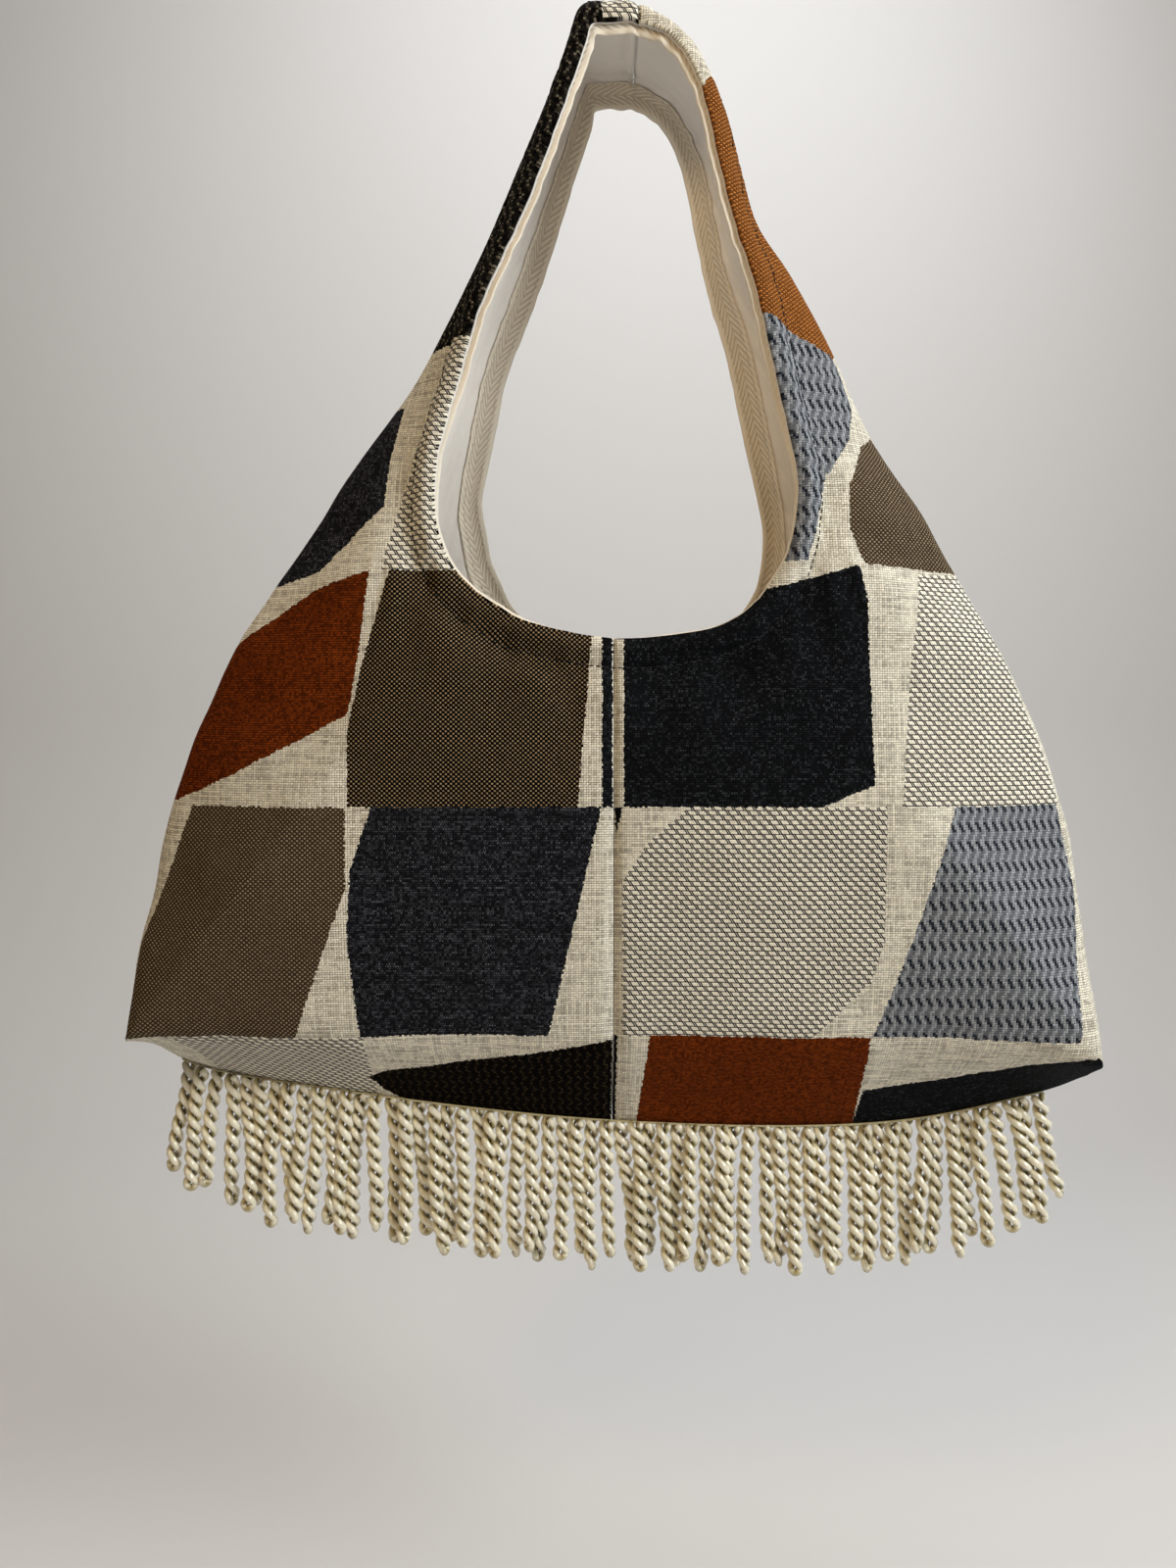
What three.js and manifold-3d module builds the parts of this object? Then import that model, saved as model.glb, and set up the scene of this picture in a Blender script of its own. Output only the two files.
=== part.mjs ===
// Slouchy shoulder bag in jacquard cloth, hanging from the top of its strap.
// Four outer panels run from the bottom seam up into the strap. A cotton lining, a tape round each
// opening edge and a bullion fringe in the bottom seam complete it.
// Millimetres, +Z up, front at -Y. The origin lies under the top of the strap, where a hook carries it.
import * as THREE from "three";
import { mergeVertices } from "three/addons/utils/BufferGeometryUtils.js";
import Module from "manifold-3d";

// Cloth and tape
const CLOTH = 1.6;
const LINING = 1.0;
const TAPE = 1.0;
const TAPE_WIDTH = 13;
const PLY_GAP = 0.3;
const SEAM_GAP = 0.3;

// Fringe
const FRINGE_LEFT = -195;
const FRINGE_RIGHT = 196;
const STRANDS = 60;
const STRAND_LENGTH = 65;
const STRAND_RADIUS = 3;
const STRAND_SIDES = 5;
const HEADER_HEIGHT = 2.5;
const HEADER_DEPTH = 6;
const END_FLARE = 10; // outward swing of the outermost strands
const END_SHORTER = 15; // what they lack in length
const SWING = 3.5; // sideways, in slow waves along the row
const SWING_RIPPLE = 2.4;
const SWAY = 3; // forward and back
const LENGTH_VARIES = 3.5;

// Sections across the cloth wall. Each one runs from the opening edge, out over the front to the
// fold, and back to the seam in the middle of the bag's depth. The back is the same, apart from its
// opening edge.
//   edge_*    a point on the front opening edge, edge_y being its distance in front of the middle
//   fold_*    the corner where the front turns towards the back, rounded over the length blend
//   seam_out  how far the seam lies beyond the fold, seen from the front
//   bulge     how far the front swells forward between edge and fold
//   back_in   how much nearer the opening's middle the back's edge lies
const COLUMNS = [
  "edge_x", "edge_z", "edge_y", "fold_x", "fold_z", "fold_y", "seam_out", "blend", "bulge", "back_in",
];
const BOTTOM = table(COLUMNS, [
  [-59, -259.5, 45, -209, -450, 42, 10, 8, 3, 14], // left boxed corner
  [-50, -265.5, 45, -171, -448.5, 41, 27, 14, 4, 10],
  [-36, -272.5, 44, -105, -448, 38, 37, 16, 5, 5],
  [0, -278.9, 42, 0, -448.5, 36, 47, 18, 5, 0], // centre seam
  [36, -276.3, 44, 105, -450, 38, 50, 16, 5, 0],
  [52, -270.5, 45, 173, -453.5, 41, 36, 14, 4, 0],
  [62, -262.5, 45, 208.5, -460.5, 42, 18, 8, 3, 0], // right boxed corner
]);
const RIGHT_SIDE = table(COLUMNS, [
  [62, -262.5, 45, 208.5, -460.5, 42, 18, 8, 3, 0], // boxed corner
  [71.5, -248.5, 46, 209, -401.5, 28, 1, 18, 3, 0],
  [75, -239.5, 47, 204, -356, 24, 1, 20, 3, 0],
  [77.5, -227.5, 48, 187, -305, 22, 1, 20, 3, 0],
  [78.5, -213.5, 48, 166, -265, 22, 1, 20, 2, 0],
  [77, -201.5, 47, 141, -222.5, 22, 1, 18, 2, 0], // shoulder
  [73.6, -183.5, 45, 115.5, -183.5, 22, 1, 16, 1, 0],
  [68.5, -157.5, 43, 98, -147, 23, 1, 13, 0, 0],
  [62, -126.5, 41, 80, -115.5, 24, 1, 11, 0, 0], // strap
  [54.5, -101.5, 39, 64.5, -93.5, 25, 1, 9, 0, 0],
  [48, -74.5, 37, 57, -69.5, 26, 1, 8, 0, 0],
  [41.8, -45.5, 35, 50, -43.5, 27, 1, 8, 0, 0],
  [35.5, -27.5, 33, 40.4, -23.3, 28, 1, 8, 0, 0],
  [26, -14.1, 32, 30, -9.6, 28, 1, 8, 0, 0],
  [11, -8, 32, 11, 3.5, 28, 1, 8, 0, 0], // top seam
]);
const LEFT_SIDE = table(COLUMNS, [
  [-59, -259.5, 45, -209, -450, 42, 10, 8, 3, 14], // boxed corner
  [-67, -251.5, 46, -209, -406.5, 28, 1, 18, 3, 16],
  [-72, -242.5, 47, -202.5, -366.5, 24, 1, 20, 3, 17],
  [-75.5, -230.5, 48, -187, -318, 22, 1, 20, 3, 15],
  [-76.5, -217.5, 48, -166, -274, 22, 1, 20, 2, 13],
  [-75.5, -201.5, 47, -141.5, -237.5, 22, 1, 18, 2, 9], // shoulder
  [-72, -185.5, 46, -114, -197, 22, 1, 16, 1, 7],
  [-67, -165.5, 44, -90.5, -165.5, 23, 1, 13, 0, 5],
  [-59.5, -137.5, 42, -75, -138.5, 24, 1, 11, 0, 3], // strap
  [-48, -110.5, 40, -58.2, -105.5, 25, 1, 9, 0, 2],
  [-38, -87.5, 38, -47.3, -81, 26, 1, 8, 0, 1],
  [-22.8, -45.5, 35, -29, -37.8, 28, 1, 8, 0, 0],
  [-14.8, -22.5, 33, -21, -15, 28, 1, 8, 0, 0],
  [-10, -9.3, 32, -14.5, 2.2, 28, 1, 8, 0, 0], // bend
  [0, -7.9, 32, -2, 4.2, 28, 1, 8, 0, 0],
  [11, -8, 32, 11, 3.5, 28, 1, 8, 0, 0], // top seam
]);
const BOTTOM_STEPS = 2;
const BODY_ROWS = 7; // side rows below the strap, which get a section in between

// Soft dents in the front and back, as grooves of a length, width and depth seen from the front.
const DENTS = table(["x", "z", "turn_deg", "length", "width", "depth"], [
  [-52, -271.5, -42, 30, 9, 3], // below the left of the neckline
  [44, -290.5, -12, 30, 10, 2.5], // below the right of the neckline
  [124, -243.5, -22, 34, 9, 2.5], // right shoulder
  [-122, -237.5, 40, 34, 10, 2.5], // left shoulder
]);

function table(columns, rows) {
  return rows.map((row) => Object.fromEntries(columns.map((name, i) => [name, row[i]])));
}

// One column of a table at a place between its rows, on a smooth curve through them.
function smooth(rows, column, place) {
  const value = (k) => {
    const last = rows.length - 1;
    if (k < 0) return 2 * rows[0][column] - rows[1][column];
    if (k > last) return 2 * rows[last][column] - rows[last - 1][column];
    return rows[k][column];
  };
  const i = Math.min(Math.floor(place), rows.length - 2);
  const w = place - i;
  const [a, b, c, d] = [value(i - 1), value(i), value(i + 1), value(i + 2)];
  const slope = (c - a) * w;
  const bend = (2 * a - 5 * b + 4 * c - d) * w ** 2;
  const turn = (3 * b - a - 3 * c + d) * w ** 3;
  return b + (slope + bend + turn) / 2;
}

// The sections along one table, with a number of steps from each row to the next.
function sectionsAlong(rows, side, stepsAt) {
  const places = [];
  for (let i = 0; i < rows.length - 1; i++) {
    const steps = stepsAt(i);
    for (let k = 0; k < steps; k++) places.push(i + k / steps);
  }
  places.push(rows.length - 1);
  return places.map((place) => {
    const at = (column) => smooth(rows, column, place);
    const edge = new THREE.Vector3(at("edge_x"), -at("edge_y"), at("edge_z"));
    const fold = new THREE.Vector3(at("fold_x"), -at("fold_y"), at("fold_z"));
    const outward = fold.clone().sub(edge).setY(0).normalize();
    const seam = fold.clone().addScaledVector(outward, at("seam_out")).setY(0);
    const backEdge = edge.clone();
    backEdge.x -= side(edge.x) * at("back_in");
    return { edge, backEdge, fold, seam, blend: at("blend"), bulge: at("bulge") };
  });
}

// Points of one section from the opening edge to the seam, close together, with the length so far.
function profileOf(edge, { fold, seam, blend, bulge }) {
  const FRONT_STEPS = 24;
  const FOLD_STEPS = 8;
  const MOST = 0.9;
  const toEdge = edge.clone().sub(fold);
  const toSeam = seam.clone().sub(fold);
  const roundFrom = fold.clone().addScaledVector(toEdge, Math.min(MOST, blend / toEdge.length()));
  const roundTo = fold.clone().addScaledVector(toSeam, Math.min(MOST, blend / toSeam.length()));
  const points = [];
  for (let i = 0; i <= FRONT_STEPS; i++) {
    const t = i / FRONT_STEPS;
    const point = edge.clone().lerp(roundFrom, t);
    point.y -= bulge * 4 * t * (1 - t);
    points.push(point);
  }
  const round = new THREE.QuadraticBezierCurve3(roundFrom, fold, roundTo);
  for (let i = 1; i <= FOLD_STEPS; i++) points.push(round.getPoint(i / FOLD_STEPS));
  points.push(seam);
  const along = [0];
  for (let i = 1; i < points.length; i++) along.push(along[i - 1] + points[i].distanceTo(points[i - 1]));
  return { points, along, roundStart: along[FRONT_STEPS], roundEnd: along[FRONT_STEPS + FOLD_STEPS] };
}

function pointAt({ points, along }, length) {
  let i = 1;
  while (i < along.length - 1 && along[i] < length) i++;
  const share = (length - along[i - 1]) / (along[i] - along[i - 1]);
  return points[i - 1].clone().lerp(points[i], THREE.MathUtils.clamp(share, 0, 1));
}

// Nine points of a section: the opening edge, two on the tape, and six on to the seam, gathered at
// the fold where the front is long and evenly spaced where it is short.
function sectionPoints(profile) {
  const LONG_FRONT = 40;
  const { roundStart, roundEnd, along } = profile;
  const total = along.at(-1);
  const front = roundStart - TAPE_WIDTH;
  const gathered = [
    TAPE_WIDTH + front / 3,
    TAPE_WIDTH + (front * 2) / 3,
    roundStart,
    (roundStart + roundEnd) / 2,
    roundEnd,
  ];
  const share = THREE.MathUtils.clamp(front / LONG_FRONT, 0, 1);
  const between = gathered.map((length, i) => {
    const even = TAPE_WIDTH + ((total - TAPE_WIDTH) * (i + 1)) / (gathered.length + 1);
    return THREE.MathUtils.lerp(even, length, share);
  });
  const lengths = [0, TAPE_WIDTH / 2, TAPE_WIDTH, ...between, total];
  return lengths.map((length) => dented(pointAt(profile, length)));
}

function dented(point) {
  const moved = point.clone();
  for (const { x, z, turn_deg, length, width, depth } of DENTS) {
    const turn = THREE.MathUtils.degToRad(turn_deg);
    const dx = point.x - x;
    const dz = point.z - z;
    const along = dx * Math.cos(turn) + dz * Math.sin(turn);
    const across = dz * Math.cos(turn) - dx * Math.sin(turn);
    moved.y += depth * Math.exp(-((along / length) ** 2) - (across / width) ** 2);
  }
  return moved;
}

// The outer face of a front or back half, as rows of points from the centre of the bottom up to the
// top seam, with the direction in which the wall's plies lie outside each other. At a seam that
// direction stays in the seam's plane, so that both sides of it meet. A back half is worked out on
// the front side, and mirrored where it is used.
function clothFace(side, back) {
  const LEAST_MITRE = 0.5;
  const bottom = sectionsAlong(BOTTOM, Math.sign, () => BOTTOM_STEPS);
  const middle = (bottom.length - 1) / 2;
  const half = side > 0 ? bottom.slice(middle) : bottom.slice(0, middle + 1).reverse();
  const sideRows = side > 0 ? RIGHT_SIDE : LEFT_SIDE;
  const rising = sectionsAlong(sideRows, () => side, (i) => (i < BODY_ROWS ? 2 : 1));
  const points = [...half, ...rising.slice(1)].map((section) =>
    sectionPoints(profileOf(back ? section.backEdge : section.edge, section)),
  );
  const last = points.length - 1;
  const normals = points.map((row, i) =>
    row.map((_, j) => {
      const next = points[Math.min(i + 1, last)][j];
      const before = points[Math.max(i - 1, 0)][j];
      const outer = row[Math.min(j + 1, row.length - 1)];
      const inner = row[Math.max(j - 1, 0)];
      const normal = outer.clone().sub(inner).cross(next.clone().sub(before)).normalize();
      if (side < 0) normal.negate();
      const mitred = normal.clone();
      if (j === row.length - 1) mitred.y = 0;
      if (i === 0 || i === last) mitred.x = 0;
      mitred.normalize();
      return mitred.multiplyScalar(1 / Math.max(LEAST_MITRE, mitred.dot(normal)));
    }),
  );
  return { points, normals };
}

// A face moved inwards by a depth, with its seams drawn back for the gap between pieces.
function layer(face, side, depth, { centreGap = SEAM_GAP, seamGap = SEAM_GAP } = {}) {
  const last = face.points.length - 1;
  return face.points.map((row, i) =>
    row.map((point, j) => {
      const moved = point.clone().addScaledVector(face.normals[i][j], -depth);
      if (i === 0 || i === last) moved.x += side * (centreGap / 2);
      if (j === row.length - 1) moved.y = -seamGap / 2;
      return moved;
    }),
  );
}

// A wall between two grids of points that face each other, closed round its rims.
// flip turns the faces over, wrap joins the last row to the first for a band that goes all round,
// and crossed tells which four-sided faces are split along their other diagonal.
function wall(outer, inner, { flip = false, wrap = false, crossed = () => false } = {}) {
  const rows = outer.length;
  const columns = outer[0].length;
  const position = [...outer, ...inner].flatMap((row) => row.flatMap((p) => p.toArray()));
  const out = (i, j) => (i % rows) * columns + j;
  const inn = (i, j) => rows * columns + out(i, j);
  const index = [];
  const face = (a, b, c) => index.push(...(flip ? [a, c, b] : [a, b, c]));
  const quad = (a, b, c, d) => {
    face(a, b, c);
    face(a, c, d);
  };
  const steps = wrap ? rows : rows - 1;
  const end = columns - 1;
  for (let i = 0; i < steps; i++) {
    for (let j = 0; j < end; j++) {
      const front = [out(i, j), out(i, j + 1), out(i + 1, j + 1), out(i + 1, j)];
      const back = [inn(i, j), inn(i + 1, j), inn(i + 1, j + 1), inn(i, j + 1)];
      for (const [a, b, c, d] of [front, back]) crossed(i, j) ? quad(b, c, d, a) : quad(a, b, c, d);
    }
    quad(out(i, 0), out(i + 1, 0), inn(i + 1, 0), inn(i, 0));
    quad(out(i, end), inn(i, end), inn(i + 1, end), out(i + 1, end));
  }
  for (let j = 0; !wrap && j < end; j++) {
    const i = rows - 1;
    quad(out(0, j), inn(0, j), inn(0, j + 1), out(0, j + 1));
    quad(out(i, j), out(i, j + 1), inn(i, j + 1), inn(i, j));
  }
  const geometry = new THREE.BufferGeometry();
  geometry.setAttribute("position", new THREE.Float32BufferAttribute(position, 3));
  geometry.setIndex(index);
  return geometry;
}

const mirrored = (grid) => grid.map((row) => row.map((p) => new THREE.Vector3(p.x, -p.y, p.z)));

const sideSign = { left: -1, right: 1 };
const halves = (back) => ({ left: clothFace(-1, back), right: clothFace(1, back) });
const faces = { front: halves(false), back: halves(true) };
const liningDepth = CLOTH + PLY_GAP;
const tapeDepth = liningDepth + LINING + PLY_GAP;

function panelGeometry(where, sideName) {
  const side = sideSign[sideName];
  const [outer, inner] = [0, CLOTH].map((depth) => {
    const grid = layer(faces[where][sideName], side, depth);
    return where === "back" ? mirrored(grid) : grid;
  });
  return wall(outer, inner, { flip: (side > 0) === (where === "back") });
}

// The lining runs from the front edge under the seam to the back edge in one piece.
function liningGeometry(sideName) {
  const side = sideSign[sideName];
  const across = (depth) => {
    const front = layer(faces.front[sideName], side, depth, { seamGap: 0 });
    const back = mirrored(layer(faces.back[sideName], side, depth, { seamGap: 0 }));
    return front.map((row, i) => [...row, ...back[i].slice(0, -1).reverse()]);
  };
  const outer = across(liningDepth);
  const inner = across(liningDepth + LINING);
  const middle = (outer[0].length - 1) / 2;
  return wall(outer, inner, { flip: side < 0, crossed: (i, j) => j >= middle });
}

// A tape is one band round the whole opening: up the right side and down the left.
function tapeGeometry(where) {
  const ON_TAPE = 3;
  const { left, right } = faces[where];
  const round = (depth) => {
    const rising = layer(right, 1, depth, { centreGap: 0 });
    const falling = layer(left, -1, depth, { centreGap: 0 }).reverse();
    const loop = [...rising, ...falling.slice(1, -1)].map((row) => row.slice(0, ON_TAPE));
    return where === "back" ? mirrored(loop) : loop;
  };
  const crossed = (i) => i >= right.points.length - 1;
  return wall(round(tapeDepth), round(tapeDepth + TAPE), { flip: where === "back", wrap: true, crossed });
}

// The bottom seam's outer line from left to right, in the same steps as the panels.
const seamLine = sectionsAlong(BOTTOM, Math.sign, () => BOTTOM_STEPS).map(({ seam }) => seam);

function seamHeight(x) {
  const i = THREE.MathUtils.clamp(seamLine.findIndex((p) => p.x >= x), 1, seamLine.length - 1);
  const [a, b] = [seamLine[i - 1], seamLine[i]];
  return THREE.MathUtils.mapLinear(x, a.x, b.x, a.z, b.z);
}

// Where each fringe strand hangs: its top, and its end, which swings sideways and forward.
function strands() {
  return Array.from({ length: STRANDS }, (_, i) => {
    const wave = (rate, start = 0) => Math.sin(i * rate + start);
    const share = i / (STRANDS - 1);
    const toEnd = 2 * share - 1;
    const x = THREE.MathUtils.lerp(FRINGE_LEFT, FRINGE_RIGHT, share);
    const height = Math.min(seamHeight(x - STRAND_RADIUS), seamHeight(x + STRAND_RADIUS));
    const top = new THREE.Vector3(x, 0, height - 2 * SEAM_GAP);
    const swing = END_FLARE * toEnd ** 7 + SWING * wave(0.47) + SWING_RIPPLE * wave(1.9, 1);
    const length = STRAND_LENGTH - END_SHORTER * toEnd ** 8 + LENGTH_VARIES * wave(2.3);
    return { top, end: new THREE.Vector3(x + swing, SWAY * wave(2.8, 0.5), top.z - length) };
  });
}

const wasm = await Module();
wasm.setup();

function solidOf(geometry) {
  const bare = geometry.index ? geometry.toNonIndexed() : geometry;
  const points = new THREE.BufferGeometry().setAttribute("position", bare.getAttribute("position"));
  const merged = mergeVertices(points, 1e-4);
  return new wasm.Manifold(
    new wasm.Mesh({
      numProp: 3,
      vertProperties: merged.getAttribute("position").array,
      triVerts: new Uint32Array(merged.index.array),
    }),
  );
}

function geometryOf(solid) {
  const { vertProperties, triVerts } = solid.getMesh();
  const geometry = new THREE.BufferGeometry();
  geometry.setAttribute("position", new THREE.BufferAttribute(vertProperties, 3));
  geometry.setIndex(new THREE.BufferAttribute(triVerts, 1));
  return geometry;
}

// A band under the bottom seam that carries the strands.
function headerGeometry() {
  const ends = [FRINGE_LEFT - STRAND_RADIUS, FRINGE_RIGHT + STRAND_RADIUS];
  const between = seamLine.map((p) => p.x).filter((x) => x > ends[0] + 1 && x < ends[1] - 1);
  const line = [ends[0], ...between, ends[1]];
  const grid = (y) =>
    line.map((x) => {
      const top = seamHeight(x) - 2 * SEAM_GAP;
      return [new THREE.Vector3(x, y, top), new THREE.Vector3(x, y, top - HEADER_HEIGHT)];
    });
  return wall(grid(-HEADER_DEPTH / 2), grid(HEADER_DEPTH / 2));
}

// One strand: a little slimmer at the top and narrow at the looped end.
function strandGeometry({ top, end }) {
  const RINGS = table(["share", "width"], [
    [0, 0.75],
    [0.88, 1],
    [1, 0.5],
  ]);
  const down = end.clone().sub(top);
  const ring = ({ share, width }) =>
    Array.from({ length: STRAND_SIDES }, (_, k) => {
      const angle = (2 * Math.PI * k) / STRAND_SIDES;
      const around = new THREE.Vector3(Math.cos(angle), Math.sin(angle), 0);
      return top.clone().addScaledVector(down, share).addScaledVector(around, STRAND_RADIUS * width);
    });
  const rings = RINGS.map(ring);
  const position = rings.flat().flatMap((p) => p.toArray());
  const index = [];
  for (let i = 0; i < rings.length - 1; i++) {
    for (let k = 0; k < STRAND_SIDES; k++) {
      const a = i * STRAND_SIDES + k;
      const b = i * STRAND_SIDES + ((k + 1) % STRAND_SIDES);
      index.push(a, a + STRAND_SIDES, b, b, a + STRAND_SIDES, b + STRAND_SIDES);
    }
  }
  const lastRing = (rings.length - 1) * STRAND_SIDES;
  for (let k = 1; k < STRAND_SIDES - 1; k++) {
    index.push(0, k, k + 1);
    index.push(lastRing, lastRing + k + 1, lastRing + k);
  }
  const geometry = new THREE.BufferGeometry();
  geometry.setAttribute("position", new THREE.Float32BufferAttribute(position, 3));
  geometry.setIndex(index);
  return geometry;
}

function fringeGeometry() {
  const header = solidOf(headerGeometry());
  const hanging = strands().map((strand) => solidOf(strandGeometry(strand)));
  return geometryOf(hanging.reduce((whole, strand) => whole.add(strand), header));
}

const jacquard = new THREE.MeshStandardMaterial({ color: 0x8d7b63, roughness: 0.85, metalness: 0 });
const cotton = new THREE.MeshStandardMaterial({ color: 0xe4ded6, roughness: 0.9, metalness: 0 });
const twillTape = new THREE.MeshStandardMaterial({ color: 0xd9cbb6, roughness: 0.9, metalness: 0 });
const rayonCord = new THREE.MeshStandardMaterial({ color: 0xe9e3cc, roughness: 0.5, metalness: 0 });

const bag = new THREE.Group();
bag.name = "shoulder_bag";

function addPiece(name, geometry, material) {
  const mesh = new THREE.Mesh(geometry, material);
  mesh.name = name;
  bag.add(mesh);
}

for (const sideName of ["left", "right"]) {
  for (const where of ["front", "back"]) {
    addPiece(`${where}_panel_${sideName}`, panelGeometry(where, sideName), jacquard);
  }
  addPiece(`lining_${sideName}`, liningGeometry(sideName), cotton);
}
for (const where of ["front", "back"]) {
  addPiece(`edge_tape_${where}`, tapeGeometry(where), twillTape);
}
addPiece("fringe", fringeGeometry(), rayonCord);

export default bag;
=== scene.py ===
"""Looks of the tapestry shoulder bag: jacquard panels, cotton lining, herringbone tape and bullion fringe.

Every piece follows the same section tables as the solids it stands for. Sizes are in millimetres in the
row frame, +Z up with the front at -Y, and become metres where a mesh is made.
"""

import math

import bpy
import numpy as np
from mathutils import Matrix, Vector


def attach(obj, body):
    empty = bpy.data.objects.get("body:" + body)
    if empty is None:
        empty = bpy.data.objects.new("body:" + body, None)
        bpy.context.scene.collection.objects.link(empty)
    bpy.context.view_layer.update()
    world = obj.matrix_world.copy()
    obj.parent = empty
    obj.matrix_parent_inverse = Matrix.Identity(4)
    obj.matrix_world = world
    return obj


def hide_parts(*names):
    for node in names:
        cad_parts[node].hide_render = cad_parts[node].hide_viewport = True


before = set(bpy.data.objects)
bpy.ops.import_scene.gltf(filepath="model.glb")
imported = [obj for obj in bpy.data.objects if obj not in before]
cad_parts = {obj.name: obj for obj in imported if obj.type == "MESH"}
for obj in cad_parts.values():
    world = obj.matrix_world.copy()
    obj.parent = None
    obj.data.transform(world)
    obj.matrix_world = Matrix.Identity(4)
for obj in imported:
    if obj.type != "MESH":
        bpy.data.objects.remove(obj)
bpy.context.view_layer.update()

MM, MM_PER_M = 0.001, 1000.0
SIDES = {"left": -1, "right": 1}
FACINGS = ("front", "back")

# Plies, as depths under the outer face of the cloth
CLOTH = 1.6
LINING_FROM, LINING_TO = 1.9, 2.9
TAPE_FROM, TAPE_TO = 3.2, 4.2
TAPE_WIDTH = 13.0
# How far the tape peeps past the hem at the neckline, and how much more it does between two heights
TAPE_LIP = 1.0
TAPE_LIP_RISES = [(-230, -170, 1.0), (-45, -10, 1.6)]  # on the strap and on its top
SEAM_GAP = 0.3

# Fringe
FRINGE_LEFT, FRINGE_RIGHT = -195.0, 196.0
STRANDS = 60
STRAND_LENGTH = 65.0
STRAND_RADIUS = 3.0
END_FLARE, END_SHORTER = 10.0, 15.0
SWING, SWING_RIPPLE, SWAY, LENGTH_VARIES = 3.5, 2.4, 3.0, 3.5

# Sections from the opening edge over the fold to the seam, as in the solids. The columns are
# edge x, z, y; fold x, z, y; seam_out, blend, bulge, back_in.
EDGE_XZ, FOLD_XZ, SEAM_OUT = [0, 1], [3, 4], [6]
BOTTOM = np.array([
    [-59, -259.5, 45, -209, -450, 42, 10, 8, 3, 14],  # left boxed corner
    [-50, -265.5, 45, -171, -448.5, 41, 27, 14, 4, 10],
    [-36, -272.5, 44, -105, -448, 38, 37, 16, 5, 5],
    [0, -278.9, 42, 0, -448.5, 36, 47, 18, 5, 0],  # centre seam
    [36, -276.3, 44, 105, -450, 38, 50, 16, 5, 0],
    [52, -270.5, 45, 173, -453.5, 41, 36, 14, 4, 0],
    [62, -262.5, 45, 208.5, -460.5, 42, 18, 8, 3, 0],  # right boxed corner
])
RIGHT_SIDE = np.array([
    BOTTOM[-1],
    [71.5, -248.5, 46, 209, -401.5, 28, 1, 18, 3, 0],
    [75, -239.5, 47, 204, -356, 24, 1, 20, 3, 0],
    [77.5, -227.5, 48, 187, -305, 22, 1, 20, 3, 0],
    [78.5, -213.5, 48, 166, -265, 22, 1, 20, 2, 0],
    [77, -201.5, 47, 141, -222.5, 22, 1, 18, 2, 0],  # shoulder
    [73.6, -183.5, 45, 115.5, -183.5, 22, 1, 16, 1, 0],
    [68.5, -157.5, 43, 98, -147, 23, 1, 13, 0, 0],
    [62, -126.5, 41, 80, -115.5, 24, 1, 11, 0, 0],  # strap
    [54.5, -101.5, 39, 64.5, -93.5, 25, 1, 9, 0, 0],
    [48, -74.5, 37, 57, -69.5, 26, 1, 8, 0, 0],
    [41.8, -45.5, 35, 50, -43.5, 27, 1, 8, 0, 0],
    [35.5, -27.5, 33, 40.4, -23.3, 28, 1, 8, 0, 0],
    [26, -14.1, 32, 30, -9.6, 28, 1, 8, 0, 0],
    [11, -8, 32, 11, 3.5, 28, 1, 8, 0, 0],  # top seam
])
LEFT_SIDE = np.array([
    BOTTOM[0],
    [-67, -251.5, 46, -209, -406.5, 28, 1, 18, 3, 16],
    [-72, -242.5, 47, -202.5, -366.5, 24, 1, 20, 3, 17],
    [-75.5, -230.5, 48, -187, -318, 22, 1, 20, 3, 15],
    [-76.5, -217.5, 48, -166, -274, 22, 1, 20, 2, 13],
    [-75.5, -201.5, 47, -141.5, -237.5, 22, 1, 18, 2, 9],  # shoulder
    [-72, -185.5, 46, -114, -197, 22, 1, 16, 1, 7],
    [-67, -165.5, 44, -90.5, -165.5, 23, 1, 13, 0, 5],
    [-59.5, -137.5, 42, -75, -138.5, 24, 1, 11, 0, 3],  # strap
    [-48, -110.5, 40, -58.2, -105.5, 25, 1, 9, 0, 2],
    [-38, -87.5, 38, -47.3, -81, 26, 1, 8, 0, 1],
    [-22.8, -45.5, 35, -29, -37.8, 28, 1, 8, 0, 0],
    [-14.8, -22.5, 33, -21, -15, 28, 1, 8, 0, 0],
    [-10, -9.3, 32, -14.5, 2.2, 28, 1, 8, 0, 0],  # bend
    [0, -7.9, 32, -2, 4.2, 28, 1, 8, 0, 0],
    RIGHT_SIDE[-1],
])
BOTTOM_STEPS, SIDE_STEPS = 16, 9  # sections to each row of the tables
FRONT_POINTS, BEND_POINTS, REST_POINTS = 60, 25, 12  # along a section's line before it is divided
MOST_ROUNDED = 0.9  # share of a section's leg that its rounded fold may take
EDGE_STEP, EDGE_STEPS = 1.3, 12  # close points of the mesh across the hem
REST_STEPS = 60  # points of the mesh from the hem to the seam
LEAST_MITRE = 0.5

# Soft dents in front and back: x, z, turn in degrees, length, width, depth
DENTS = [
    (-52, -271.5, -42, 30, 9, 3.0),  # below the left of the neckline
    (44, -290.5, -12, 30, 10, 2.5),  # below the right of the neckline
    (124, -243.5, -22, 34, 9, 2.5),  # right shoulder
    (-122, -237.5, 40, 34, 10, 2.5),  # left shoulder
]


def smooth(rows, places):
    """Rows of a table at places between its rows, on a smooth curve through them."""
    ends = np.vstack([2 * rows[0] - rows[1], rows, 2 * rows[-1] - rows[-2]])
    i = np.minimum(places.astype(int), len(rows) - 2)
    w = (places - i)[:, None]
    a, b, c, d = (ends[i + k] for k in range(4))
    return b + ((c - a) * w + (2 * a - 5 * b + 4 * c - d) * w**2 + (3 * b - a - 3 * c + d) * w**3) / 2


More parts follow.
